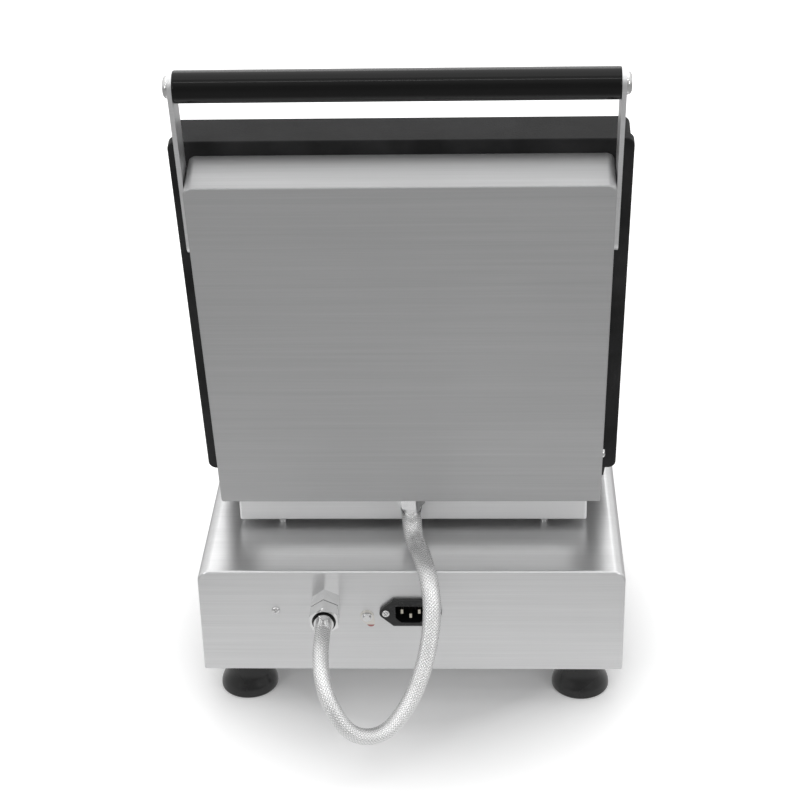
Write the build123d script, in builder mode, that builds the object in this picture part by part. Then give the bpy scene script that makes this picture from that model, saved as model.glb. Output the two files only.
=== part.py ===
from build123d import *
import math
import os

# Countertop waffle maker with a hinged lid. The front faces -Y, the floor is z = 0
# and the lid stands open, leaning back against its stop.

# Folded cabinet
base_width = 344.4
base_depth = 450
base_height = 95
base_bend = 9.5
base_edge = 2.4
sheet = 1.5
panel_flange = 12
rear_y = 208.5
front_y = rear_y - base_depth
middle_y = rear_y - base_depth / 2

# Rubber feet
foot_height = 38
foot_radius = 23.8
foot_x = 139.5
foot_inset = 33
base_bottom = foot_height
base_top = base_bottom + base_height

# Lid frame: x across, y from the hinge side to the handle, z from the cover inwards
lid_lean = 14
lid_origin = (0, rear_y - 27.4, base_bottom + 143.8)
lean_sin = math.sin(math.radians(lid_lean))
lean_cos = math.cos(math.radians(lid_lean))
lid = Plane(origin=lid_origin, x_dir=(1, 0, 0), z_dir=(0, -lean_cos, lean_sin))

# Hinge axis, in the lid frame and in the object's
hinge_u = -15
hinge_n = 74
hinge_point = lid.from_local_coords(Vector(0, hinge_u, hinge_n))
hinge_y = hinge_point.Y
hinge_z = hinge_point.Z
pin_radius = 4
pin_clearance = 0.06
lower_lug_x = 136
lower_lug_width = 11.6
upper_lug_x = 148.2
upper_lug_width = 9.8
lug_radius = 13.5

# Cast plates
plate_width = 331.6
plate_length = 323
plate_corner = 6.5
plate_flange = 8.2
plate_inset = 2
plate_step = 0.6
plate_start_u = -1
plate_back_n = 39.8
plate_face_n = 69
plate_gap = 0.4
lower_thickness = 27
lower_top = hinge_z + hinge_n - plate_face_n - plate_gap
lower_bottom = lower_top - lower_thickness
lower_rear = hinge_y + hinge_u - plate_start_u
lower_middle = lower_rear - plate_length / 2
upper_middle_u = plate_start_u + plate_length / 2

# Waffle moulds
mould_size_x = 100
mould_size_y = 146
mould_gap = 5
mould_depth = 15
mould_draft = 10
mould_corner = 6
peg_base = 16
peg_height = 10.5
peg_draft = 12
peg_pitch = 23
pegs_across = 4
pegs_along = 6

# Heating
element_radius = 4
element_bay_x = 264
element_bay_y = 268
element_bay_depth = 6

# Lower heater housing
housing_width = 287.6
housing_gap = 5.4
housing_bottom = base_top + housing_gap
housing_rear = rear_y - 70.5
housing_front = rear_y - 430
housing_middle = (housing_rear + housing_front) / 2
housing_length = housing_rear - housing_front
standoff_x = 109

# Lid cover
cover_width = 303.5
cover_length = 310
cover_bend = 6
cover_fold = 2
post_outer_x = 149.5
cover_screw = (35, 20)

# Handle
grip_u = 380.1
grip_n = 22
grip_radius = 11.3
strap_thickness = 3.2
strap_width = 22
strap_end_u = 240
strap_screws_u = (264, 291)

# Rear panel fittings
inlet_x = 0.5
inlet_z = base_bottom + 57
recess_drop = 1.3
earth_x = 36
earth_z = base_bottom + 52.3
panel_screw_x = 110
panel_screw_z = base_bottom + 58
gland_x = 68.7
gland_z = base_bottom + 65.5
gland_hex = 22
ferrule_radius = 7.2
sleeve_radius = 6.6
seal_radius = 9.6
seal_depth = 5

# Hose between the cabinet and the lid
hose_radius = 7
lid_gland_n = 12.5
lid_gland_length = 21.5
hose_gap = 0.3

# Front controls
control_z = base_bottom + 50
thermostat_x = 88
timer_x = -88
knob_radius = 21
knob_depth = 22
shaft_radius = 3
switch_x = 0
lamp_x = 34
lamp_z = control_z

rear_plane = Plane.XZ.offset(-rear_y)
front_plane = Plane.XZ.offset(-front_y)
floor_plane = Plane.XY
foot_points = [
    (side * foot_x, y)
    for side in (-1, 1)
    for y in (rear_y - foot_inset, front_y + foot_inset)
]


def cabinet_section(inset, bottom):
    """Outline of the cabinet seen from the end, with rounded top corners."""
    with BuildSketch() as section:
        with Locations((0, bottom)):
            Rectangle(
                base_width - 2 * inset,
                base_top - inset - bottom,
                align=(Align.CENTER, Align.MIN),
            )
        fillet(section.vertices().group_by(Axis.Y)[-1], base_bend - inset)
    return section.sketch


outer_section = cabinet_section(0, base_bottom)
inner_section = cabinet_section(sheet, base_bottom - 10)
panel_section = cabinet_section(sheet, base_bottom)
flange_section = cabinet_section(2 * sheet, base_bottom - 10)


# Cabinet: one sheet folded over the top and both sides, its end edges bent round
with BuildPart() as base_shell:
    with BuildSketch(rear_plane):
        add(outer_section)
    extrude(amount=base_depth)
    for end in (rear_y, front_y):
        rim = base_shell.edges().filter_by_position(Axis.Y, end - 0.01, end + 0.01)
        fillet(rim.filter_by_position(Axis.Z, base_bottom + 1, base_top + 1), base_edge)
    with BuildSketch(rear_plane):
        add(inner_section)
    extrude(amount=base_depth, mode=Mode.SUBTRACT)
    with BuildSketch(Plane.XY.offset(base_top)):
        with Locations((0, middle_y)):
            SlotOverall(80, 30)
    extrude(amount=-sheet, mode=Mode.SUBTRACT)
base_shell.part.label = "base_shell"


# Rear panel: a shallow pan with openings for the inlet, the gland and the screws
with BuildPart() as rear_panel:
    with BuildSketch(rear_plane):
        add(panel_section)
        with Locations((inlet_x, inlet_z)):
            Rectangle(29, 21, mode=Mode.SUBTRACT)
        with Locations((gland_x, gland_z)):
            Circle(8, mode=Mode.SUBTRACT)
        with Locations((earth_x, earth_z), (panel_screw_x, panel_screw_z)):
            Circle(2, mode=Mode.SUBTRACT)
    extrude(amount=sheet)
    with BuildSketch(rear_plane.offset(sheet)):
        add(panel_section)
        add(flange_section, mode=Mode.SUBTRACT)
    extrude(amount=panel_flange)
rear_panel.part.label = "rear_panel"


# Front panel: the same pan with the openings of the controls
with BuildPart() as front_panel:
    with BuildSketch(front_plane):
        add(panel_section)
        with Locations((thermostat_x, control_z), (timer_x, control_z)):
            Circle(5, mode=Mode.SUBTRACT)
        with Locations((lamp_x, lamp_z), (-lamp_x, lamp_z)):
            Circle(4, mode=Mode.SUBTRACT)
        with Locations((switch_x, control_z)):
            Rectangle(20, 28, mode=Mode.SUBTRACT)
    extrude(amount=-sheet)
    with BuildSketch(front_plane.offset(-sheet)):
        add(panel_section)
        add(flange_section, mode=Mode.SUBTRACT)
    extrude(amount=-panel_flange)
front_panel.part.label = "front_panel"


# Bottom plate with upturned lips and two rows of vent slots
lip_length = base_depth - 2 * sheet - 2 * panel_flange - 2
with BuildPart() as bottom_plate:
    with BuildSketch(Plane.XY.offset(base_bottom)):
        with Locations((0, middle_y)):
            Rectangle(base_width - 4 * sheet, base_depth - 2 * sheet)
            Rectangle(base_width - 2 * sheet, lip_length)
            with GridLocations(18, 150, 9, 2):
                SlotOverall(60, 5, rotation=90, mode=Mode.SUBTRACT)
        with Locations(*foot_points):
            Circle(2.6, mode=Mode.SUBTRACT)
    extrude(amount=sheet)
    with BuildSketch(Plane.XY.offset(base_bottom + sheet)):
        with Locations((0, middle_y)):
            with GridLocations(base_width - 3 * sheet, 1, 2, 1):
                Rectangle(sheet, lip_length)
    extrude(amount=10)
bottom_plate.part.label = "bottom_plate"


# Feet: bell-shaped rubber buffers with a recessed screw
with BuildPart() as rubber_feet:
    for x, y in foot_points:
        with BuildSketch(Plane(origin=(x, y, 0), x_dir=(1, 0, 0), z_dir=(0, -1, 0))):
            with BuildLine():
                Line((0, 0), (foot_radius - 1.8, 0))
                ThreePointArc((foot_radius - 1.8, 0), (foot_radius - 0.53, 0.53), (foot_radius, 1.8))
                Spline(
                    (foot_radius, 1.8),
                    (foot_radius - 0.3, 5.5),
                    (21.9, 10),
                    (19.9, 14),
                    (17.6, 22),
                    (16.5, 31),
                    (16, foot_height),
                )
                Line((16, foot_height), (0, foot_height))
                Line((0, foot_height), (0, 0))
            make_face()
        revolve(axis=Axis((x, y, 0), (0, 0, 1)))
    with BuildSketch(floor_plane):
        with Locations(*foot_points):
            Circle(7)
    extrude(amount=9, mode=Mode.SUBTRACT)
    with BuildSketch(floor_plane):
        with Locations(*foot_points):
            Circle(2.6)
    extrude(amount=foot_height, mode=Mode.SUBTRACT)
rubber_feet.part.label = "rubber_feet"

with BuildPart() as foot_screws:
    with BuildSketch(Plane.XY.offset(5.5)):
        with Locations(*foot_points):
            Circle(5)
    extrude(amount=3.5)
    with BuildSketch(Plane.XY.offset(9)):
        with Locations(*foot_points):
            Circle(2.5)
    extrude(amount=base_bottom + sheet + 6 - 9)
    with BuildSketch(Plane.XY.offset(base_bottom + sheet)):
        with Locations(*foot_points):
            RegularPolygon(4.6, 6)
    extrude(amount=4)
foot_screws.part.label = "foot_screws"


# Lower heater housing: a shallow tray on standoffs, covered behind the plate
with BuildPart() as lower_housing:
    with BuildSketch(Plane.XY.offset(housing_bottom)):
        with Locations((0, housing_middle)):
            RectangleRounded(housing_width, housing_length, 1.8)
    extrude(amount=lower_bottom - housing_bottom)
    fillet(lower_housing.edges().group_by(Axis.Z)[0], 1.4)
    with BuildSketch(Plane.XY.offset(housing_bottom + sheet)):
        with Locations((0, housing_middle)):
            RectangleRounded(housing_width - 2 * sheet, housing_length - 2 * sheet, 0.8)
    extrude(amount=lower_bottom - housing_bottom, mode=Mode.SUBTRACT)
    with BuildSketch(Plane.XY.offset(lower_bottom - sheet)):
        with Locations((0, housing_rear - sheet)):
            Rectangle(
                housing_width - sheet,
                housing_rear - sheet - lower_rear + 8,
                align=(Align.CENTER, Align.MAX),
            )
    extrude(amount=sheet)
    with BuildSketch(Plane.XY.offset(housing_bottom)):
        with Locations((0, middle_y)):
            SlotOverall(70, 24)
    extrude(amount=sheet, mode=Mode.SUBTRACT)
lower_housing.part.label = "lower_housing"

standoff_points = [
    (side * standoff_x, y)
    for side in (-1, 1)
    for y in (housing_rear - 9.5, housing_front + 40)
]
with BuildPart() as housing_standoffs:
    with BuildSketch(Plane.XY.offset(base_top)):
        with Locations(*standoff_points):
            Circle(3.5)
    extrude(amount=housing_gap)
    with BuildSketch(Plane.XY.offset(housing_bottom - 4)):
        with Locations(*standoff_points):
            RegularPolygon(5.2, 6)
    extrude(amount=4)
housing_standoffs.part.label = "housing_standoffs"


# Lower plate: a block with moulds and pegs on a wider flange, a bay for the element below
block_width = plate_width - 2 * plate_inset
block_length = plate_length - plate_step
with BuildPart() as lower_plate:
    with BuildSketch(Plane.XY.offset(lower_bottom)):
        with Locations((0, lower_middle)):
            RectangleRounded(plate_width, plate_length, plate_corner)
    extrude(amount=plate_flange)
    fillet(lower_plate.edges().group_by(Axis.Z)[0], 1.2)
    with BuildSketch(Plane.XY.offset(lower_bottom + plate_flange)):
        with Locations((0, lower_middle + plate_step / 2)):
            RectangleRounded(block_width, block_length, plate_corner)
    extrude(amount=lower_thickness - plate_flange)
    with BuildSketch(Plane.XY.offset(lower_top)):
        with Locations((0, lower_middle)):
            with GridLocations(mould_size_x + mould_gap, mould_size_y + mould_gap, 3, 2):
                RectangleRounded(mould_size_x, mould_size_y, mould_corner)
    extrude(amount=-mould_depth, taper=mould_draft, mode=Mode.SUBTRACT)
    with BuildSketch(Plane.XY.offset(lower_top - mould_depth)):
        with Locations((0, lower_middle)):
            with GridLocations(mould_size_x + mould_gap, mould_size_y + mould_gap, 3, 2):
                with GridLocations(peg_pitch, peg_pitch, pegs_across, pegs_along):
                    Rectangle(peg_base, peg_base)
    extrude(amount=peg_height, taper=peg_draft)
    with BuildSketch(Plane.XY.offset(lower_bottom)):
        with Locations((0, lower_middle)):
            Rectangle(element_bay_x, element_bay_y)
    extrude(amount=element_bay_depth, mode=Mode.SUBTRACT)
lower_plate.part.label = "lower_plate"

# Lower hinge lugs against the plate's rear face, each with the block that stops the lid
with BuildPart() as lower_hinge_lugs:
    for side in (-1, 1):
        with BuildSketch(Plane.YZ.offset(side * lower_lug_x)):
            with Locations((hinge_y, hinge_z)):
                Circle(lug_radius)
            with Locations((lower_rear, lower_bottom + 3)):
                Rectangle(2, hinge_z - lower_bottom - 2, align=(Align.MIN, Align.MIN))
            make_hull()
        extrude(amount=side * lower_lug_width)
        with BuildSketch(Plane.YZ.offset(side * (lower_lug_x + lower_lug_width))):
            with Locations((lower_rear, hinge_z - 19.5)):
                Rectangle(hinge_y - 7.4 - lower_rear, 7, align=(Align.MIN, Align.MIN))
        extrude(amount=side * 10)
        with BuildSketch(Plane.YZ.offset(side * lower_lug_x)):
            with Locations((hinge_y, hinge_z)):
                Circle(pin_radius)
        extrude(amount=side * lower_lug_width, mode=Mode.SUBTRACT)
lower_hinge_lugs.part.label = "lower_hinge_lugs"


# Tubular element under the lower plate, bent to and fro with both ends turned down
element_z = lower_bottom + element_bay_depth - element_radius
element_reach = 112
with BuildPart() as lower_heating_element:
    with BuildLine() as element_line:
        FilletPolyline(
            (-14, lower_middle, element_z - 14),
            (-14, lower_middle, element_z),
            (-element_reach, lower_middle, element_z),
            (-element_reach, lower_middle + 108, element_z),
            (element_reach, lower_middle + 108, element_z),
            (element_reach, lower_middle + 60, element_z),
            (-60, lower_middle + 60, element_z),
            (-60, lower_middle + 26, element_z),
            (element_reach, lower_middle + 26, element_z),
            (element_reach, lower_middle - 108, element_z),
            (-element_reach, lower_middle - 108, element_z),
            (-element_reach, lower_middle - 60, element_z),
            (60, lower_middle - 60, element_z),
            (60, lower_middle - 20, element_z),
            (14, lower_middle - 20, element_z),
            (14, lower_middle - 20, element_z - 14),
            radius=10,
        )
    with BuildSketch(Plane(origin=element_line.line @ 0, z_dir=element_line.line % 0)):
        Circle(element_radius)
    sweep()
lower_heating_element.part.label = "lower_heating_element"

with BuildPart() as lower_element_clamp:
    with BuildSketch(Plane.XY.offset(lower_bottom - 4)):
        with Locations((0, lower_middle + 84), (0, lower_middle - 84)):
            Rectangle(element_bay_x + 14, 18)
    extrude(amount=2)
    with BuildSketch(Plane.XY.offset(lower_bottom - 2)):
        with Locations((0, lower_middle + 84), (0, lower_middle - 84)):
            with GridLocations(element_bay_x + 7, 1, 2, 1):
                Circle(3.4)
    extrude(amount=2)
lower_element_clamp.part.label = "lower_element_clamp"

with BuildPart() as lower_insulation:
    with BuildSketch(Plane.XY.offset(housing_bottom + sheet)):
        with Locations((0, lower_middle)):
            Rectangle(278, 280)
            Rectangle(60, 60, mode=Mode.SUBTRACT)
    extrude(amount=8)
lower_insulation.part.label = "lower_insulation"


# Upper plate: the same moulds facing the lower ones
with BuildPart() as upper_plate:
    with BuildSketch(lid.offset(plate_back_n)):
        with Locations((0, upper_middle_u)):
            RectangleRounded(plate_width, plate_length, plate_corner)
    extrude(amount=plate_flange)
    fillet(upper_plate.faces().sort_by(Axis(lid_origin, lid.z_dir))[0].edges(), 1.2)
    with BuildSketch(lid.offset(plate_back_n + plate_flange)):
        with Locations((0, upper_middle_u - plate_step / 2)):
            RectangleRounded(block_width, block_length, plate_corner)
    extrude(amount=plate_face_n - plate_back_n - plate_flange)
    with BuildSketch(lid.offset(plate_face_n)):
        with Locations((0, upper_middle_u)):
            with GridLocations(mould_size_x + mould_gap, mould_size_y + mould_gap, 3, 2):
                RectangleRounded(mould_size_x, mould_size_y, mould_corner)
    extrude(amount=-mould_depth, taper=mould_draft, mode=Mode.SUBTRACT)
    with BuildSketch(lid.offset(plate_face_n - mould_depth)):
        with Locations((0, upper_middle_u)):
            with GridLocations(mould_size_x + mould_gap, mould_size_y + mould_gap, 3, 2):
                with GridLocations(peg_pitch, peg_pitch, pegs_across, pegs_along):
                    Rectangle(peg_base, peg_base)
    extrude(amount=peg_height, taper=peg_draft)
    with BuildSketch(lid.offset(plate_back_n)):
        with Locations((0, upper_middle_u)):
            Rectangle(element_bay_x, element_bay_y)
    extrude(amount=element_bay_depth, mode=Mode.SUBTRACT)
upper_plate.part.label = "upper_plate"

# Posts on the plate's back that the cover and the handle straps are screwed to
with BuildPart() as cover_posts:
    with BuildSketch(lid.offset(plate_back_n)):
        for u, length in ((cover_screw[0], 12), (sum(strap_screws_u) / 2, 45)):
            with Locations((0, u)):
                with GridLocations(2 * post_outer_x - 10, 1, 2, 1):
                    Rectangle(10, length)
    extrude(amount=-29)
cover_posts.part.label = "cover_posts"

# Upper hinge lugs, outside the lower ones, against the plate's hinge end
with BuildPart() as upper_hinge_lugs:
    for side in (-1, 1):
        lug_plane = Plane(
            origin=lid.from_local_coords(Vector(side * upper_lug_x, 0, 0)),
            x_dir=lid.y_dir,
            z_dir=(1, 0, 0),
        )
        with BuildSketch(lug_plane):
            with Locations((hinge_u, hinge_n)):
                Circle(lug_radius)
            with Locations((hinge_u - 5.6, hinge_n - 5.6)):
                Circle(12)
            with Locations((plate_start_u, 45)):
                Rectangle(2, plate_face_n - 0.4 - 45, align=(Align.MAX, Align.MIN))
            make_hull()
        extrude(amount=side * upper_lug_width)
        with BuildSketch(lug_plane):
            with Locations((plate_start_u - 0.6, plate_face_n - 0.4)):
                Rectangle(30, 30, align=(Align.MIN, Align.MIN))
        extrude(amount=side * upper_lug_width, mode=Mode.SUBTRACT)
        with BuildSketch(lug_plane):
            with Locations((hinge_u, hinge_n)):
                Circle(pin_radius + pin_clearance)
        extrude(amount=side * upper_lug_width, mode=Mode.SUBTRACT)
upper_hinge_lugs.part.label = "upper_hinge_lugs"

# Hinge pins: a head outside each lug pair and a retaining ring inside
with BuildPart() as hinge_pins:
    for side in (-1, 1):
        with BuildSketch(Plane.YZ.offset(side * (lower_lug_x - 2))):
            with Locations((hinge_y, hinge_z)):
                Circle(pin_radius)
        extrude(amount=side * 24.6)
        with BuildSketch(Plane.YZ.offset(side * (lower_lug_x - 1.6))):
            with Locations((hinge_y, hinge_z)):
                Circle(5.6)
        extrude(amount=side * 1.6)
        with BuildSketch(Plane.YZ.offset(side * 158.4)):
            with Locations((hinge_y, hinge_z)):
                Circle(6.5)
        extrude(amount=side * 3)
hinge_pins.part.label = "hinge_pins"


# Upper element, clamp bars and insulation, closed in by the cover
upper_element_n = plate_back_n + element_bay_depth - element_radius
with BuildPart() as upper_heating_element:
    with BuildLine(lid.offset(upper_element_n)) as upper_line:
        FilletPolyline(
            (-14, upper_middle_u, -14),
            (-14, upper_middle_u, 0),
            (-element_reach, upper_middle_u, 0),
            (-element_reach, upper_middle_u + 108, 0),
            (element_reach, upper_middle_u + 108, 0),
            (element_reach, upper_middle_u + 60, 0),
            (-60, upper_middle_u + 60, 0),
            (-60, upper_middle_u + 26, 0),
            (element_reach, upper_middle_u + 26, 0),
            (element_reach, upper_middle_u - 108, 0),
            (-element_reach, upper_middle_u - 108, 0),
            (-element_reach, upper_middle_u - 60, 0),
            (60, upper_middle_u - 60, 0),
            (60, upper_middle_u - 20, 0),
            (14, upper_middle_u - 20, 0),
            (14, upper_middle_u - 20, -14),
            radius=10,
        )
    with BuildSketch(Plane(origin=upper_line.line @ 0, z_dir=upper_line.line % 0)):
        Circle(element_radius)
    sweep()
upper_heating_element.part.label = "upper_heating_element"

with BuildPart() as upper_element_clamp:
    with BuildSketch(lid.offset(plate_back_n - 4)):
        with Locations((0, upper_middle_u + 84), (0, upper_middle_u - 84)):
            Rectangle(element_bay_x + 4, 18)
    extrude(amount=2)
    with BuildSketch(lid.offset(plate_back_n - 2)):
        with Locations((0, upper_middle_u + 84), (0, upper_middle_u - 84)):
            with GridLocations(element_bay_x - 10, 1, 2, 1):
                Circle(5)
    extrude(amount=2 + element_bay_depth)
upper_element_clamp.part.label = "upper_element_clamp"

with BuildPart() as upper_insulation:
    with BuildSketch(lid.offset(sheet + 8)):
        with Locations((0, upper_middle_u)):
            Rectangle(266, 290)
            Rectangle(60, 60, mode=Mode.SUBTRACT)
            with Locations((0, -110)):
                Rectangle(60, 74, mode=Mode.SUBTRACT)
    extrude(amount=12)
upper_insulation.part.label = "upper_insulation"


def cover_outline(inset):
    """Outline of the cover: tight folds at the hinge end, rounder ones at the handle end."""
    with BuildSketch() as outline:
        with Locations((0, cover_length / 2)):
            Rectangle(cover_width - 2 * inset, cover_length - 2 * inset)
        fillet(outline.vertices().group_by(Axis.Y)[-1], cover_bend - inset)
        fillet(outline.vertices().group_by(Axis.Y)[0], cover_fold - inset)
    return outline.sketch


# Lid cover: a five-sided sheet box with small bends
with BuildPart() as lid_cover:
    with BuildSketch(lid):
        add(cover_outline(0))
    extrude(amount=plate_back_n)
    fillet(lid_cover.faces().sort_by(Axis(lid_origin, lid.z_dir))[0].edges(), 1.4)
    with BuildSketch(lid.offset(sheet)):
        add(cover_outline(sheet))
    extrude(amount=plate_back_n, mode=Mode.SUBTRACT)
    gland_plane = Plane(
        origin=lid.from_local_coords(Vector(0, 0, lid_gland_n)),
        x_dir=(1, 0, 0),
        z_dir=-lid.y_dir,
    )
    with BuildSketch(gland_plane):
        Circle(7)
    extrude(amount=-4, mode=Mode.SUBTRACT)
    screw_plane = Plane(
        origin=lid.from_local_coords(Vector(0, 0, 0)),
        x_dir=lid.y_dir,
        z_dir=(1, 0, 0),
    )
    with BuildSketch(screw_plane):
        with Locations(cover_screw, *[(u, grip_n) for u in strap_screws_u]):
            Circle(2.5)
    extrude(amount=200, both=True, mode=Mode.SUBTRACT)
lid_cover.part.label = "lid_cover"


# Cover screws: pan heads outside the sheet, shanks against the cast posts
with BuildPart() as cover_screws:
    for side in (-1, 1):
        with BuildSketch(screw_plane.offset(side * post_outer_x)):
            with Locations(cover_screw):
                Circle(2.5)
        extrude(amount=side * (cover_width / 2 - post_outer_x))
        with BuildSketch(screw_plane.offset(side * cover_width / 2)):
            with Locations(cover_screw):
                Circle(3.8)
        extrude(amount=side * 3.4, taper=12)
cover_screws.part.label = "cover_screws"

# Handle straps: flat bars with round ends and the screw heads let in
strap_x = cover_width / 2 + 0.6
strap_length = grip_u + strap_width / 2 - strap_end_u
strap_outer_x = strap_x + strap_thickness
head_depth = 2.2
with BuildPart() as handle_arm_left:
    with BuildSketch(screw_plane.offset(strap_x)):
        with Locations((strap_end_u + strap_length / 2, grip_n)):
            SlotOverall(strap_length, strap_width)
        with Locations((grip_u, grip_n)):
            Circle(4, mode=Mode.SUBTRACT)
        with Locations(*[(u, grip_n) for u in strap_screws_u]):
            Circle(2.5, mode=Mode.SUBTRACT)
    extrude(amount=strap_thickness)
    with BuildSketch(screw_plane.offset(strap_outer_x)):
        with Locations(*[(u, grip_n) for u in strap_screws_u]):
            Circle(4.2)
    extrude(amount=-head_depth, mode=Mode.SUBTRACT)
handle_arm_left.part.label = "handle_arm_left"

with BuildPart() as handle_arm_right:
    add(handle_arm_left.part.mirror(Plane.YZ))
handle_arm_right.part.label = "handle_arm_right"

# Strap screws: shank, a washer between sheet and strap, and the head in its counterbore
with BuildPart() as arm_screws:
    for side in (-1, 1):
        for start_x, end_x, radius in (
            (post_outer_x, strap_outer_x - head_depth, 2.5),
            (cover_width / 2, strap_x, 5.5),
            (strap_outer_x - head_depth, strap_outer_x - 0.1, 4.2),
        ):
            with BuildSketch(screw_plane.offset(side * start_x)):
                with Locations(*[(u, grip_n) for u in strap_screws_u]):
                    Circle(radius)
            extrude(amount=side * (end_x - start_x))
arm_screws.part.label = "arm_screws"

# Grip: a bored cylinder on a rod, held by a domed cap at each end
with BuildPart() as handle_grip:
    with BuildSketch(screw_plane.offset(-strap_x)):
        with Locations((grip_u, grip_n)):
            Circle(grip_radius)
            Circle(4, mode=Mode.SUBTRACT)
    extrude(amount=2 * strap_x)
    fillet(handle_grip.edges().filter_by(GeomType.CIRCLE).sort_by(Edge.length)[-2:], 1)
handle_grip.part.label = "handle_grip"

with BuildPart() as handle_rod:
    with BuildSketch(screw_plane.offset(-strap_outer_x)):
        with Locations((grip_u, grip_n)):
            Circle(4)
    extrude(amount=2 * strap_outer_x)
handle_rod.part.label = "handle_rod"

with BuildPart() as handle_caps:
    for side in (-1, 1):
        with BuildSketch(screw_plane.offset(side * strap_outer_x)):
            with Locations((grip_u, grip_n)):
                Circle(8)
        extrude(amount=side * 3.8)
    fillet(handle_caps.edges().filter_by(GeomType.CIRCLE).group_by(Axis.X)[0], 3)
    fillet(handle_caps.edges().filter_by(GeomType.CIRCLE).group_by(Axis.X)[-1], 3)
handle_caps.part.label = "handle_caps"


# Mains inlet: flange with screw ears, moulded body and a recess with clipped corners
with BuildPart() as power_inlet:
    with BuildSketch(rear_plane):
        with Locations((inlet_x - 20, inlet_z), (inlet_x + 20, inlet_z)):
            Circle(5.2)
        with Locations((inlet_x, inlet_z)):
            Rectangle(28, 24.7)
        make_hull()
    extrude(amount=-3)
    with BuildSketch(rear_plane):
        with Locations((inlet_x, inlet_z)):
            Rectangle(29, 21)
    extrude(amount=22)
    with BuildSketch(rear_plane.offset(-3)):
        with Locations((inlet_x, inlet_z - recess_drop)):
            Polygon(
                (-12.2, 7.8),
                (12.2, 7.8),
                (12.2, -3.2),
                (7.6, -7.8),
                (-7.6, -7.8),
                (-12.2, -3.2),
                align=None,
            )
    extrude(amount=19, mode=Mode.SUBTRACT)
    with BuildSketch(rear_plane.offset(-3)):
        with Locations((inlet_x - 20, inlet_z), (inlet_x + 20, inlet_z)):
            Circle(1.8)
    extrude(amount=3, mode=Mode.SUBTRACT)
power_inlet.part.label = "power_inlet"

pin_z = inlet_z - recess_drop
with BuildPart() as inlet_pins:
    with BuildSketch(rear_plane.offset(-1.5)):
        with Locations((inlet_x - 7, pin_z + 2), (inlet_x + 7, pin_z + 2)):
            Rectangle(2, 4)
        with Locations((inlet_x, pin_z - 2)):
            Rectangle(2, 4)
    extrude(amount=17.5)
inlet_pins.part.label = "inlet_pins"

with BuildPart() as inlet_screws:
    with BuildSketch(rear_plane.offset(-3)):
        with Locations((inlet_x - 20, inlet_z), (inlet_x + 20, inlet_z)):
            Circle(3.2)
    extrude(amount=-1.8, taper=15)
    with BuildSketch(rear_plane.offset(-3)):
        with Locations((inlet_x - 20, inlet_z), (inlet_x + 20, inlet_z)):
            Circle(1.8)
    extrude(amount=3)
inlet_screws.part.label = "inlet_screws"

# Earth stud with its tag, and the terminal block screw
with BuildPart() as earth_tag:
    with BuildSketch(rear_plane):
        with Locations((earth_x, earth_z)):
            Circle(5.6)
        with Locations((earth_x - 3, earth_z - 6.5)):
            Circle(3.2)
        make_hull()
        with Locations((earth_x, earth_z)):
            Circle(2, mode=Mode.SUBTRACT)
    extrude(amount=-0.8)
earth_tag.part.label = "earth_tag"

with BuildPart() as earth_screw:
    with BuildSketch(rear_plane.offset(-0.8)):
        with Locations((earth_x, earth_z)):
            Circle(4.4)
    extrude(amount=-1)
    with BuildSketch(rear_plane.offset(-1.8)):
        with Locations((earth_x, earth_z)):
            Circle(3.5)
    extrude(amount=-2.6, taper=12)
    with BuildSketch(rear_plane.offset(-0.8)):
        with Locations((earth_x, earth_z)):
            Circle(2)
    extrude(amount=12)
earth_screw.part.label = "earth_screw"

with BuildPart() as panel_screw:
    with BuildSketch(rear_plane):
        with Locations((panel_screw_x, panel_screw_z)):
            Circle(3.4)
    extrude(amount=-2.2, taper=15)
    with BuildSketch(rear_plane):
        with Locations((panel_screw_x, panel_screw_z)):
            Circle(2)
    extrude(amount=10)
panel_screw.part.label = "panel_screw"

with BuildPart() as terminal_block:
    with BuildSketch(rear_plane.offset(sheet)):
        with Locations((panel_screw_x, panel_screw_z)):
            Rectangle(46, 22)
            Circle(2, mode=Mode.SUBTRACT)
    extrude(amount=16)
    with BuildSketch(rear_plane.offset(sheet + 16)):
        with Locations((panel_screw_x, panel_screw_z)):
            with GridLocations(14, 12, 3, 2):
                Circle(2.5)
    extrude(amount=-6, mode=Mode.SUBTRACT)
terminal_block.part.label = "terminal_block"


# Cabinet gland: hexagon body through the panel, clamping nut, ferrule and locknut
with BuildPart() as base_gland:
    with BuildSketch(rear_plane):
        with Locations((gland_x, gland_z)):
            RegularPolygon(gland_hex / 2, 6, major_radius=False, rotation=26)
    extrude(amount=-14.4)
    with BuildSketch(rear_plane.offset(-14.4)):
        with Locations((gland_x, gland_z)):
            Circle(9.5)
    extrude(amount=-0.8)
    with BuildSketch(rear_plane):
        with Locations((gland_x, gland_z)):
            Circle(8)
    extrude(amount=12)
    with BuildSketch(rear_plane.offset(-15.2)):
        with Locations((gland_x, gland_z)):
            Circle(5)
    extrude(amount=27.2, mode=Mode.SUBTRACT)
base_gland.part.label = "base_gland"

with BuildPart() as base_gland_nut:
    with BuildSketch(rear_plane.offset(-15.2)):
        with Locations((gland_x, gland_z)):
            RegularPolygon(gland_hex / 2, 6, major_radius=False, rotation=26)
    extrude(amount=-12.3)
    with BuildSketch(rear_plane.offset(-27.5)):
        with Locations((gland_x, gland_z)):
            Circle(12.2)
    extrude(amount=12.3, taper=-45, mode=Mode.INTERSECT)
    with BuildSketch(rear_plane.offset(-27.5)):
        with Locations((gland_x, gland_z)):
            Circle(ferrule_radius)
    extrude(amount=12.3, mode=Mode.SUBTRACT)
    with BuildSketch(rear_plane.offset(-27.5)):
        with Locations((gland_x, gland_z)):
            Circle(seal_radius)
    extrude(amount=seal_depth, mode=Mode.SUBTRACT)
base_gland_nut.part.label = "base_gland_nut"

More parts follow.
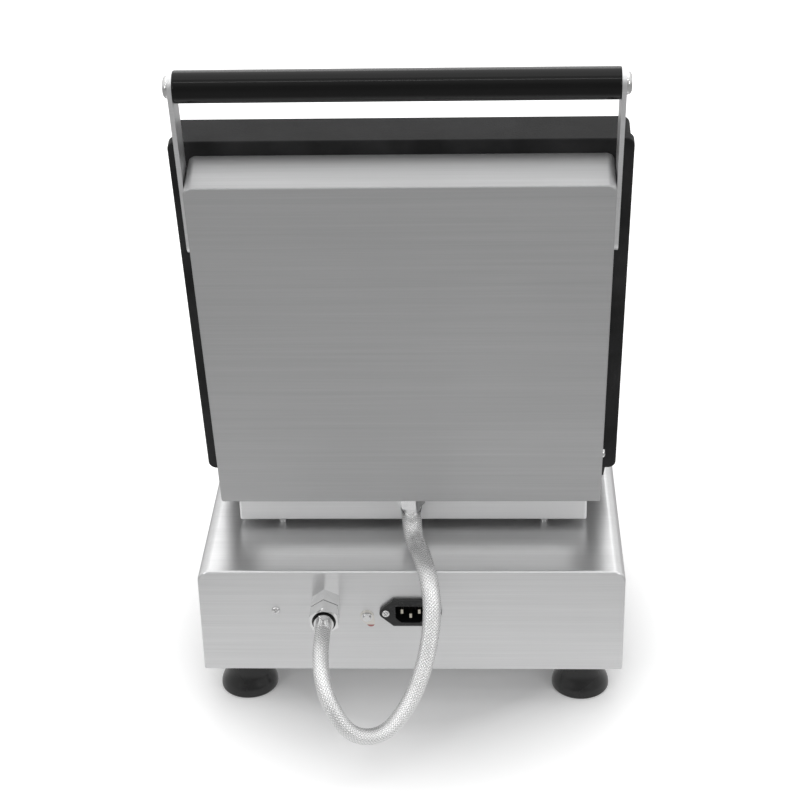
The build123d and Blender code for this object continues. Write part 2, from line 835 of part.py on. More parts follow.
# Rubber seal pressed into the nut's mouth, and the ferrule that holds the hose
with BuildPart() as gland_seal:
    with BuildSketch(rear_plane.offset(seal_depth - 27.5)):
        with Locations((gland_x, gland_z)):
            Circle(seal_radius)
            Circle(sleeve_radius, mode=Mode.SUBTRACT)
    extrude(amount=0.8 - seal_depth)
gland_seal.part.label = "gland_seal"

with BuildPart() as base_ferrule:
    for start, end, radius in (
        (15.2, 27.5 - seal_depth, ferrule_radius),
        (27.5 - seal_depth, 41.5, sleeve_radius),
        (28.2, 31, 8),
        (39.5, 41.5, 7),
    ):
        with BuildSketch(rear_plane.offset(-start)):
            with Locations((gland_x, gland_z)):
                Circle(radius)
        extrude(amount=start - end)
base_ferrule.part.label = "base_ferrule"

with BuildPart() as base_locknut:
    with BuildSketch(rear_plane.offset(sheet)):
        with Locations((gland_x, gland_z)):
            RegularPolygon(11, 6, major_radius=False)
            Circle(8, mode=Mode.SUBTRACT)
    extrude(amount=4)
base_locknut.part.label = "base_locknut"


# Lid gland: hexagon on the cover's hinge side wall, ferrule and inner locknut
with BuildPart() as lid_gland:
    with BuildSketch(gland_plane):
        RegularPolygon(10, 6, major_radius=False, rotation=8)
    extrude(amount=12)
    with BuildSketch(gland_plane):
        Circle(7)
    extrude(amount=-10)
    with BuildSketch(gland_plane.offset(12)):
        Circle(5)
    extrude(amount=-22, mode=Mode.SUBTRACT)
lid_gland.part.label = "lid_gland"

with BuildPart() as lid_ferrule:
    with BuildSketch(gland_plane.offset(12)):
        Circle(8)
    extrude(amount=lid_gland_length - 12)
    with BuildSketch(gland_plane.offset(lid_gland_length - 2)):
        Circle(8.6)
    extrude(amount=2)
lid_ferrule.part.label = "lid_ferrule"

with BuildPart() as lid_locknut:
    with BuildSketch(gland_plane.offset(-sheet)):
        RegularPolygon(9.5, 6, major_radius=False)
        Circle(7, mode=Mode.SUBTRACT)
    extrude(amount=-4)
lid_locknut.part.label = "lid_locknut"


# Hose: from the cabinet gland out and round in a low loop, over the cabinet's rear
# edge and up into the lid gland. Each bend is as wide as its two runs allow.
hose_end = gland_plane.offset(lid_gland_length + hose_gap).origin
hose_points = [
    Vector(gland_x, rear_y + 41.5, gland_z),
    Vector(gland_x, rear_y + 52, gland_z),
    Vector(69, rear_y + 65.8, 101.2),
    Vector(67.5, rear_y + 84.5, 92),
    Vector(60.4, rear_y + 99.8, 74.5),
    Vector(44.1, rear_y + 104.5, 48.5),
    Vector(18.8, rear_y + 90.6, 39.6),
    Vector(-0.3, rear_y + 71.2, 55.8),
    Vector(-11.3, rear_y + 56.5, 79.5),
    Vector(-17, rear_y + 44.5, 103.5),
    Vector(-18.2, rear_y + 32, 125),
    Vector(-14.8, rear_y + 15.5, 139.6),
    Vector(-10.3, rear_y - 3, 142.2),
    Vector(-6.2, rear_y - 23.5, 140.6),
    Vector(-3, rear_y - 34.06, 140.56),
    Vector(-1.3, rear_y - 40.51, 143.65),
    Vector(-0.35, rear_y - 45.03, 149.37),
    hose_end - lid.y_dir * 7.35,
    hose_end,
]


def bend_radii(points):
    """Largest tangent arc at each inner point: 0.45 of the shorter run over the half turn."""
    radii = []
    for before, corner, after in zip(points, points[1:], points[2:]):
        half_turn = (corner - before).get_angle(after - corner) / 2
        run = min((corner - before).length, (after - corner).length)
        radii.append(0.45 * run / math.tan(math.radians(half_turn)))
    return radii


hose_radii = bend_radii(hose_points)
with BuildPart() as braided_hose:
    with BuildLine() as hose_line:
        FilletPolyline(*hose_points, radius=hose_radii)
    with BuildSketch(Plane(origin=hose_line.line @ 0, z_dir=hose_line.line % 0)):
        Circle(hose_radius)
    sweep()
braided_hose.part.label = "braided_hose"
hose_length = hose_line.wires()[0].length
section_volume = math.pi * hose_radius**2 * hose_length
print("hose bend radii", [round(r, 1) for r in hose_radii])
print("hose length", round(hose_length, 1))
print("hose volume", round(braided_hose.part.volume), "section times length", round(section_volume))


# Thermostat and timer behind the front panel, each with a bushing for its shaft
def control_body(x, width, height, depth):
    """Switchgear box fixed behind the front panel, with a bored threaded bushing."""
    with BuildPart() as body:
        with BuildSketch(front_plane.offset(-sheet)):
            with Locations((x, control_z)):
                Rectangle(width, height)
        extrude(amount=-depth)
        with BuildSketch(front_plane.offset(-sheet)):
            with Locations((x, control_z)):
                Circle(5)
        extrude(amount=sheet + 3)
        with BuildSketch(front_plane.offset(3)):
            with Locations((x, control_z)):
                Circle(shaft_radius + 0.05)
        extrude(amount=-25, mode=Mode.SUBTRACT)
    return body.part


def control_knob(x):
    """Tapered knob with a skirt, a grip bar and a shaft that runs in the bushing."""
    with BuildPart() as knob:
        with BuildSketch(front_plane.offset(1)):
            with Locations((x, control_z)):
                Circle(knob_radius)
        extrude(amount=4)
        with BuildSketch(front_plane.offset(5)):
            with Locations((x, control_z)):
                Circle(knob_radius - 3)
        extrude(amount=knob_depth - 5, taper=6)
        fillet(knob.edges().group_by(Axis.Y)[0], 1.5)
        with BuildSketch(front_plane.offset(knob_depth + 1)):
            with Locations((x, control_z + 10)):
                Rectangle(2.4, 12)
        extrude(amount=-1.5, mode=Mode.SUBTRACT)
        with BuildSketch(front_plane.offset(1)):
            with Locations((x, control_z)):
                Circle(7)
        extrude(amount=4, mode=Mode.SUBTRACT)
        with BuildSketch(front_plane.offset(5)):
            with Locations((x, control_z)):
                Circle(shaft_radius)
        extrude(amount=-22)
    return knob.part


thermostat_body = control_body(thermostat_x, 44, 38, 30)
thermostat_body.label = "thermostat_body"
timer_body = control_body(timer_x, 40, 44, 38)
timer_body.label = "timer_body"
temperature_knob = control_knob(thermostat_x)
temperature_knob.label = "temperature_knob"
timer_knob = control_knob(timer_x)
timer_knob.label = "timer_knob"


# Rocker switch: a bezel with its body, and a rocker on a cross pin inside it
with BuildPart() as switch_body:
    with BuildSketch(front_plane):
        with Locations((switch_x, control_z)):
            RectangleRounded(24, 32, 2)
    extrude(amount=2)
    with BuildSketch(front_plane):
        with Locations((switch_x, control_z)):
            Rectangle(20, 28)
    extrude(amount=-22)
    with BuildSketch(front_plane.offset(2)):
        with Locations((switch_x, control_z)):
            Rectangle(16.8, 25)
    extrude(amount=-14, mode=Mode.SUBTRACT)
    with BuildSketch(Plane.YZ.offset(switch_x)):
        with Locations((front_y, control_z)):
            Circle(1.5)
    extrude(amount=9.2, both=True)
switch_body.part.label = "switch_body"

with BuildPart() as switch_rocker:
    with BuildSketch(Plane.YZ.offset(switch_x)):
        with Locations((front_y, control_z)):
            Polygon(
                (-6, 10.6),
                (-3.2, 0),
                (-1.5, -12.05),
                (2.5, -11.5),
                (5, -3),
                (5, 3),
                (-0.5, 11.9),
                align=None,
            )
            Circle(1.55, mode=Mode.SUBTRACT)
    extrude(amount=8.2, both=True)
switch_rocker.part.label = "switch_rocker"


# Pilot lamps: a domed lens in the panel with its body behind
with BuildPart() as pilot_lamps:
    with BuildSketch(front_plane):
        with Locations((lamp_x, lamp_z), (-lamp_x, lamp_z)):
            Circle(5.5)
    extrude(amount=3)
    fillet(pilot_lamps.edges().group_by(Axis.Y)[0], 2)
    with BuildSketch(front_plane):
        with Locations((lamp_x, lamp_z), (-lamp_x, lamp_z)):
            Circle(4)
    extrude(amount=-20)
pilot_lamps.part.label = "pilot_lamps"

pieces = [
    base_shell,
    rear_panel,
    front_panel,
    bottom_plate,
    rubber_feet,
    foot_screws,
    lower_housing,
    housing_standoffs,
    lower_plate,
    lower_hinge_lugs,
    lower_heating_element,
    lower_element_clamp,
    lower_insulation,
    upper_plate,
    cover_posts,
    upper_hinge_lugs,
    hinge_pins,
    upper_heating_element,
    upper_element_clamp,
    upper_insulation,
    lid_cover,
    cover_screws,
    handle_arm_left,
    handle_arm_right,
    arm_screws,
    handle_grip,
    handle_rod,
    handle_caps,
    power_inlet,
    inlet_pins,
    inlet_screws,
    earth_tag,
    earth_screw,
    panel_screw,
    terminal_block,
    base_gland,
    base_gland_nut,
    gland_seal,
    base_ferrule,
    base_locknut,
    lid_gland,
    lid_ferrule,
    lid_locknut,
    braided_hose,
    switch_body,
    switch_rocker,
    pilot_lamps,
]
os.makedirs("parts", exist_ok=True)
for piece in pieces:
    export_step(piece.part, f"parts/{piece.part.label}.step")
for part in (thermostat_body, timer_body, temperature_knob, timer_knob):
    export_step(part, f"parts/{part.label}.step")
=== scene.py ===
import math

import bpy
import numpy as np
from mathutils import Matrix


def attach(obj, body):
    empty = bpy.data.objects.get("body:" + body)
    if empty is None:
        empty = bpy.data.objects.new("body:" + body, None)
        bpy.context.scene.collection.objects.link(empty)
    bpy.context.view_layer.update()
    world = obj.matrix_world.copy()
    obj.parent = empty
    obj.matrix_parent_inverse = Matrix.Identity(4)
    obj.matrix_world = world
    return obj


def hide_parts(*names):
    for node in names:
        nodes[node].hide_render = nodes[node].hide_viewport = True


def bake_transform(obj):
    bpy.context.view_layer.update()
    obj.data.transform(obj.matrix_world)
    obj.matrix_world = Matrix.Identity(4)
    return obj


bl_info = {
    "name": "Countertop waffle maker",
    "version": (1, 0, 0),
    "blender": (4, 5, 0),
    "location": "3D View > Sidebar > Waffle maker",
    "description": "Steel waffle maker with a hinged lid, seen from behind with the lid open",
    "category": "Object",
}

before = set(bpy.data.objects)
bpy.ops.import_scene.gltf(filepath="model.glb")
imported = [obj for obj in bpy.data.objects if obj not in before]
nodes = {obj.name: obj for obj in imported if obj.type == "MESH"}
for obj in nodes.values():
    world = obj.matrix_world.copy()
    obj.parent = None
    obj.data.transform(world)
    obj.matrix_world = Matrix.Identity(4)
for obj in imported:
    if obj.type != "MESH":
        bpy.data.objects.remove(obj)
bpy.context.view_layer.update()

# The hose runs from the cabinet gland in a low loop up to the lid gland, in metres
HOSE_ROUTE = (
    (0.0687, 0.2500, 0.1035),
    (0.0687, 0.2605, 0.1035),
    (0.0690, 0.2743, 0.1012),
    (0.0675, 0.2930, 0.0920),
    (0.0604, 0.3083, 0.0745),
    (0.0441, 0.3130, 0.0485),
    (0.0188, 0.2991, 0.0396),
    (-0.0003, 0.2797, 0.0558),
    (-0.0113, 0.2650, 0.0795),
    (-0.0170, 0.2530, 0.1035),
    (-0.0182, 0.2405, 0.1250),
    (-0.0148, 0.2240, 0.1396),
    (-0.0103, 0.2055, 0.1422),
    (-0.0062, 0.1850, 0.1406),
    (-0.0030, 0.17444, 0.14056),
    (-0.0013, 0.16799, 0.14365),
    (-0.00035, 0.16347, 0.14937),
    (0.0000, 0.16192, 0.15654),
    (0.0000, 0.16370, 0.16367),
)

# Lid directions, leaning back 14 degrees: up the cover, and outwards from its back
LID_UP = np.array((0.0, 0.241922, 0.970296))
LID_OUT = np.array((0.0, 0.970296, -0.241922))
LID_ORIGIN = np.array((0.0, 0.1811, 0.1818))
FRONT_Y = -0.2415
REAR_Y = 0.2085
CONTROL_Z = 0.088
KNOB_X = 0.088


# Mesh helpers


def mesh_piece(name, points, faces, material, body, smooth=True):
    """Makes one object from vertex and face arrays, with its place in its mesh, riding a body."""
    mesh = bpy.data.meshes.new(name)
    mesh.from_pydata(np.asarray(points).reshape(-1, 3).tolist(), [], np.asarray(faces).tolist())
    mesh.polygons.foreach_set("use_smooth", np.full(len(mesh.polygons), smooth))
    mesh.update()
    piece = bpy.data.objects.new(name, mesh)
    bpy.context.scene.collection.objects.link(piece)
    mesh.materials.append(material)
    if body:
        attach(piece, body)
    return piece


def grid_faces(rows, columns, start=0):
    """Quads of a rows by columns grid that closes on itself along its columns."""
    row = np.arange(rows - 1)[:, None] * columns
    here = np.arange(columns)[None, :]
    after = (here + 1) % columns
    quads = np.stack(
        (row + here, row + after, row + columns + after, row + columns + here), axis=-1
    )
    return quads.reshape(-1, 4) + start


def turned_solid(profile, centre, axis, columns=48, lobe=None, recess=None):
    """Surface of revolution: radius and height pairs turned about an axis from a centre.

    A point is the centre plus its height along the axis plus its radius times
    (cosine, sine) of the turn angle. lobe scales the radius with angle and height,
    and recess lowers the height at (x, y) across the axis.
    """
    profile = np.asarray(profile, float)
    axis = np.asarray(axis, float) / np.linalg.norm(axis)
    side = np.cross(axis, (0.31, 0.57, 0.76))
    side /= np.linalg.norm(side)
    if abs(axis[1]) > 0.99:
        side = np.array((1.0, 0.0, 0.0))
    other = np.cross(axis, side)
    turn = np.linspace(0, 2 * math.pi, columns, endpoint=False)[None, :]
    radius = np.repeat(profile[:, :1], columns, axis=1)
    height = np.repeat(profile[:, 1:2], columns, axis=1)
    if lobe is not None:
        radius = radius * lobe(turn, height, radius)
    across, up = radius * np.cos(turn), radius * np.sin(turn)
    if recess is not None:
        height = height - recess(across, up, height)
    points = (
        np.asarray(centre, float)
        + height[..., None] * axis
        + across[..., None] * side
        + up[..., None] * other
    )
    return points.reshape(-1, 3), grid_faces(len(profile), columns)


def joined(parts):
    """One vertex array and one face array from several, the faces renumbered in order."""
    points, faces, count = [], [], 0
    for part_points, part_faces in parts:
        points.append(part_points)
        faces.append(part_faces + count)
        count += len(part_points)
    return np.concatenate(points), np.concatenate(faces)


def pan_screw(seat, axis, head_radius, head_height, shank_radius, shank_length, turn=0.6):
    """Pan head with a cross recess on a plain shank.

    The head is a superellipse profile. The recess is the union of two slots across the
    head whose depth eases out towards their ends.
    """
    rise = np.linspace(0, 0.5 * math.pi, 12)
    head_r = head_radius * np.cos(rise) ** 0.55
    head_z = head_height * (0.25 + 0.75 * np.sin(rise) ** 0.9)
    inner = np.linspace(head_r[-5], 0, 16)[1:]
    inner_z = np.interp(-inner, -head_r[-5:], head_z[-5:])
    profile = np.concatenate(
        (
            np.array(
                (
                    (1e-6, -shank_length),
                    (shank_radius * 0.8, -shank_length),
                    (shank_radius, -shank_length * 0.96),
                    (shank_radius, 0),
                    (head_radius * 0.97, 0),
                    (head_radius, head_height * 0.06),
                    (head_radius, head_height * 0.25),
                )
            ),
            np.stack((head_r[1:-4], head_z[1:-4]), axis=1),
            np.stack((np.maximum(inner, 1e-6), inner_z), axis=1),
        )
    )
    reach, width, depth = head_radius * 0.62, head_radius * 0.13, head_height * 0.5

    def cross(across, up, height):
        one = abs(across * math.cos(turn) + up * math.sin(turn))
        other = abs(up * math.cos(turn) - across * math.sin(turn))
        longer, shorter = np.maximum(one, other), np.minimum(one, other)
        in_slot = np.clip((width * 1.35 - shorter) / (width * 0.5), 0, 1)
        in_reach = np.clip((reach - longer) / (reach * 0.4), 0, 1)
        return depth * in_slot * in_reach * (height > head_height * 0.5)

    return turned_solid(profile, seat, axis, columns=72, recess=cross)


# Material helpers


def new_material(name):
    """A material with only its output and one Principled shader, both returned with the tree."""
    material = bpy.data.materials.new(name)
    material.use_nodes = True
    tree = material.node_tree
    tree.nodes.clear()
    output = tree.nodes.new("ShaderNodeOutputMaterial")
    shader = tree.nodes.new("ShaderNodeBsdfPrincipled")
    tree.links.new(shader.outputs["BSDF"], output.inputs["Surface"])
    return material, tree, shader


def add(tree, kind, wires=None, **settings):
    """Adds a shader node. wires gives an input a number, or another node's output to link."""
    made = tree.nodes.new(kind)
    for key, value in settings.items():
        setattr(made, key, value)
    for key, value in (wires or {}).items():
        if isinstance(value, bpy.types.NodeSocket):
            tree.links.new(value, made.inputs[key])
        else:
            made.inputs[key].default_value = value
    return made


def maths(tree, operation, first, second=0.0):
    """Output of a Math node on two numbers or sockets."""
    return add(tree, "ShaderNodeMath", {0: first, 1: second}, operation=operation).outputs[0]


def weighed(tree, first, first_share, second, second_share):
    """Sum of two sockets, each times its share."""
    return maths(
        tree,
        "ADD",
        maths(tree, "MULTIPLY", first, first_share),
        maths(tree, "MULTIPLY", second, second_share),
    )


def scaled_noise(tree, scale, detail=3.0, roughness=0.5):
    """Noise on Object coordinates stretched by a scale for each axis."""
    place = add(tree, "ShaderNodeTexCoord").outputs["Object"]
    mapping = add(tree, "ShaderNodeMapping", {"Vector": place, "Scale": scale})
    return add(
        tree,
        "ShaderNodeTexNoise",
        {"Vector": mapping.outputs[0], "Scale": 1.0, "Detail": detail, "Roughness": roughness},
    ).outputs["Fac"]


def spread(tree, value, low, high, to_low, to_high):
    """Maps a value from one range to another, held at both ends."""
    return add(
        tree,
        "ShaderNodeMapRange",
        {0: value, 1: low, 2: high, 3: to_low, 4: to_high},
    ).outputs[0]


def blended(tree, factor, first, second):
    """Colour between two colours or sockets by a factor."""
    mix = add(tree, "ShaderNodeMix", data_type="RGBA")
    for socket, value in ((mix.inputs[0], factor), (mix.inputs[6], first), (mix.inputs[7], second)):
        if isinstance(value, bpy.types.NodeSocket):
            tree.links.new(value, socket)
        else:
            socket.default_value = value if isinstance(value, float) else (*value[:3], 1.0)
    return mix.outputs[2]


def bumped(tree, shader, height, strength, distance):
    """Sends a height through a Bump node into the shader's normal."""
    settings = {"Strength": strength, "Distance": distance, "Height": height}
    bump = add(tree, "ShaderNodeBump", settings)
    tree.links.new(bump.outputs[0], shader.inputs["Normal"])


def brush_lines(tree, sideways, along, across, detail):
    """Noise drawn out along X, or along Y where a face looks sideways."""
    lines_x = scaled_noise(tree, (along, across, across), detail)
    lines_y = scaled_noise(tree, (across, along, across), detail)
    return add(tree, "ShaderNodeMix", {0: sideways, 2: lines_x, 3: lines_y}).outputs[0]


def brushed_steel(name, colour, rough, metal=0.74, stretch=0.55, contrast=0.07):
    """Stainless sheet brushed across the machine, and along it on the side walls.

    Fine lines, broad lines and soft clouds together move colour and roughness. The
    fine lines also make a slight bump, and the highlight is drawn out across them.
    metal below 1 leaves some diffuse light in the sheet.
    """
    material, tree, shader = new_material(name)
    normal = add(tree, "ShaderNodeNewGeometry").outputs["Normal"]
    parts = add(tree, "ShaderNodeSeparateXYZ", {0: normal})
    sideways = spread(tree, maths(tree, "ABSOLUTE", parts.outputs[0]), 0.55, 0.8, 0.0, 1.0)
    fine = brush_lines(tree, sideways, along=9, across=1400, detail=4)
    broad = brush_lines(tree, sideways, along=3, across=240, detail=3)
    cloudy = scaled_noise(tree, (6, 6, 9), 2)
    both = weighed(tree, fine, 0.55, broad, 0.45)
    tone = weighed(tree, both, 0.8, cloudy, 0.2)
    dark = [c * (1 - contrast) for c in colour]
    light = [min(1.0, c * (1 + contrast)) for c in colour]
    shade = spread(tree, tone, 0.3, 0.7, 0.0, 1.0)
    tree.links.new(blended(tree, shade, dark, light), shader.inputs["Base Color"])
    dulled = spread(tree, tone, 0.3, 0.7, rough + 0.05, rough - 0.05)
    tree.links.new(dulled, shader.inputs["Roughness"])
    shader.inputs["Metallic"].default_value = metal
    shader.inputs["Anisotropic"].default_value = stretch
    level = maths(tree, "SUBTRACT", 1.0, sideways)
    lines = add(tree, "ShaderNodeCombineXYZ", {0: level, 1: sideways}).outputs[0]
    across = add(tree, "ShaderNodeVectorMath", {0: lines, 1: normal}, operation="CROSS_PRODUCT")
    tree.links.new(across.outputs[0], shader.inputs["Tangent"])
    bumped(tree, shader, fine, 0.08, 0.0002)
    return material


def cast_iron(name, colour, rough):
    """Seasoned cast iron: sand-cast grain in the bump, duller and greyer in soft random patches."""
    material, tree, shader = new_material(name)
    grain = scaled_noise(tree, (900, 900, 900), 4, 0.6)
    patch = scaled_noise(tree, (28, 28, 28), 3)
    tone = spread(tree, patch, 0.35, 0.7, 0.0, 1.0)
    tree.links.new(
        blended(tree, tone, [c * 0.7 for c in colour], [c * 1.5 for c in colour]),
        shader.inputs["Base Color"],
    )
    mixed = weighed(tree, grain, 0.5, patch, 0.5)
    dulled = spread(tree, mixed, 0.3, 0.7, rough - 0.08, rough + 0.1)
    tree.links.new(dulled, shader.inputs["Roughness"])
    shader.inputs["Specular IOR Level"].default_value = 0.13
    bumped(tree, shader, grain, 0.35, 0.0004)
    return material


def moulded(name, colour, rough, grain_scale=1500.0, grain=0.08, shine=0.5):
    """Moulded plastic, rubber or lacquer: faint mottling, fine skin grain, slight smudges."""
    material, tree, shader = new_material(name)
    skin = scaled_noise(tree, (grain_scale,) * 3, 2)
    smudge = scaled_noise(tree, (35, 35, 35), 3)
    tree.links.new(
        blended(tree, smudge, [c * 0.85 for c in colour], [min(1.0, c * 1.15) for c in colour]),
        shader.inputs["Base Color"],
    )
    dulled = spread(tree, smudge, 0.3, 0.7, rough - 0.04, rough + 0.05)
    tree.links.new(dulled, shader.inputs["Roughness"])
    shader.inputs["Specular IOR Level"].default_value = shine
    bumped(tree, shader, skin, grain, 0.0002)
    return material


def plated(name, colour, rough, scratches=0.05):
    """Bright plated or turned metal: fine random scuffs and slightly uneven brightness."""
    material, tree, shader = new_material(name)
    scuff = scaled_noise(tree, (700, 260, 700), 4, 0.6)
    cloud = scaled_noise(tree, (120, 120, 120), 2)
    tree.links.new(
        blended(tree, cloud, [c * 0.88 for c in colour], [min(1.0, c * 1.08) for c in colour]),
        shader.inputs["Base Color"],
    )
    tree.links.new(spread(tree, scuff, 0.3, 0.7, rough, rough + 0.12), shader.inputs["Roughness"])
    shader.inputs["Metallic"].default_value = 1.0
    bumped(tree, shader, scuff, scratches, 0.0002)
    return material


def wire_braid(name, colour, rough, wires_per_strand=6.0):
    """Braided steel wire. The UV map counts strands of the two directions, and the
    attribute over says which direction is on top, so the fine wires run along it."""
    material, tree, shader = new_material(name)
    place = add(tree, "ShaderNodeUVMap").outputs[0]
    axes = add(tree, "ShaderNodeSeparateXYZ", {0: place})
    over = add(tree, "ShaderNodeAttribute", attribute_name="over").outputs["Fac"]
    low = add(tree, "ShaderNodeAttribute", attribute_name="low").outputs["Fac"]
    ridges = []
    for direction in (0, 1):
        turns = maths(tree, "MULTIPLY", axes.outputs[direction], 2 * math.pi * wires_per_strand)
        ridges.append(maths(tree, "SINE", turns))
    wire = add(tree, "ShaderNodeMix", {0: over, 2: ridges[1], 3: ridges[0]}).outputs[0]
    tree.links.new(
        # Painted shade: where low is high, in the hollows between strands, the colour is darkened to
        # a tenth
        blended(tree, low, list(colour), [c * 0.1 for c in colour]), shader.inputs["Base Color"]
    )
    tree.links.new(spread(tree, wire, -1.0, 1.0, rough + 0.08, rough), shader.inputs["Roughness"])
    shader.inputs["Metallic"].default_value = 1.0
    bumped(tree, shader, wire, 0.35, 0.0001)
    return material


def dress(material, *names):
    """Gives CAD nodes a material through their objects' slots, their shapes untouched."""
    for name in names:
        target = nodes[name]
        if not target.material_slots:
            target.data.materials.append(material)
        for slot in target.material_slots:
            slot.link = "OBJECT"
            slot.material = material


# Settings


class StageSettings(bpy.types.PropertyGroup):
    lens: bpy.props.FloatProperty(
        name="Lens", description="Focal length on a 36 mm sensor", default=88.75, unit="CAMERA"
    )
    camera_place: bpy.props.FloatVectorProperty(
        name="Camera place",
        description="Where the camera stands, behind the machine and above it",
        default=(-0.05669, 1.53169, 1.00286),
        subtype="TRANSLATION",
    )
    floor_colour: bpy.props.FloatVectorProperty(
        name="Floor colour",
        description="Plain pale floor",
        default=(0.92, 0.92, 0.92),
        subtype="COLOR",
        min=0,
        max=1,
    )


class SteelSettings(bpy.types.PropertyGroup):
    sheet_colour: bpy.props.FloatVectorProperty(
        name="Sheet colour",
        description="Brushed stainless sheet of the cabinet, panels, housing and arms",
        default=(0.7, 0.702, 0.705),
        subtype="COLOR",
        min=0,
        max=1,
    )
    # Painted shade: the cover's colour is darker than the sheet's, standing in for the dim
    # surroundings it reflects
    cover_colour_painted_shade: bpy.props.FloatVectorProperty(
        name="Cover colour",
        description="Stainless sheet of the lid cover, painted darker as shade",
        default=(0.46, 0.462, 0.465),
        subtype="COLOR",
        min=0,
        max=1,
    )
    sheet_roughness: bpy.props.FloatProperty(
        name="Sheet roughness",
        description="How dull the brushed sheet is",
        default=0.4,
        min=0,
        max=1,
        subtype="FACTOR",
    )
    fastener_colour: bpy.props.FloatVectorProperty(
        name="Fastener colour",
        description="Screws, standoffs and domed caps",
        default=(0.7, 0.7, 0.7),
        subtype="COLOR",
        min=0,
        max=1,
    )


class PlateSettings(bpy.types.PropertyGroup):
    iron_colour: bpy.props.FloatVectorProperty(
        name="Iron colour",
        description="Seasoned cast iron of both plates",
        default=(0.019, 0.019, 0.0195),
        subtype="COLOR",
        min=0,
        max=1,
    )


class HoseSettings(bpy.types.PropertyGroup):
    cabinet_radius: bpy.props.FloatProperty(
        name="Radius at the cabinet",
        description="Radius over the braid where the hose leaves the cabinet gland",
        default=0.0063,
        unit="LENGTH",
        precision=4,
    )
    lid_radius: bpy.props.FloatProperty(
        name="Radius at the lid",
        description="Radius over the braid where the hose enters the lid gland",
        default=0.0082,
        unit="LENGTH",
        precision=4,
    )
    strands: bpy.props.IntProperty(
        name="Strands", description="Strands of one direction round the hose", default=16, min=8
    )
    strand_pitch: bpy.props.FloatProperty(
        name="Crossing pitch",
        description="Distance along the hose from one crossing to the next",
        default=0.0026,
        unit="LENGTH",
        precision=4,
    )
    braid_colour: bpy.props.FloatVectorProperty(
        name="Braid colour",
        description="Bright steel wire",
        default=(0.88, 0.88, 0.88),
        subtype="COLOR",
        min=0,
        max=1,
    )


class HandleSettings(bpy.types.PropertyGroup):
    grip_colour: bpy.props.FloatVectorProperty(
        name="Grip colour",
        description="Polished black phenolic grip",
        default=(0.005, 0.005, 0.005),
        subtype="COLOR",
        min=0,
        max=1,
    )


class FittingSettings(bpy.types.PropertyGroup):
    plastic_colour: bpy.props.FloatVectorProperty(
        name="Plastic colour",
        description="Moulded inlet, switch and terminal block",
        default=(0.007, 0.007, 0.0075),
        subtype="COLOR",
        min=0,
        max=1,
    )
    nickel_colour: bpy.props.FloatVectorProperty(
        name="Nickel colour",
        description="Plated glands and ferrules",
        default=(0.82, 0.82, 0.82),
        subtype="COLOR",
        min=0,
        max=1,
    )


class ControlSettings(bpy.types.PropertyGroup):
    knob_radius: bpy.props.FloatProperty(
        name="Knob radius",
        description="Radius of a knob over its skirt",
        default=0.021,
        unit="LENGTH",
        precision=4,
    )
    flutes: bpy.props.IntProperty(
        name="Flutes", description="Grip flutes round a knob", default=18, min=6
    )
    marking_colour: bpy.props.FloatVectorProperty(
        name="Marking colour",
        description="Printed numbers and ticks round the knobs",
        default=(0.02, 0.02, 0.02),
        subtype="COLOR",
        min=0,
        max=1,
    )


# Operators


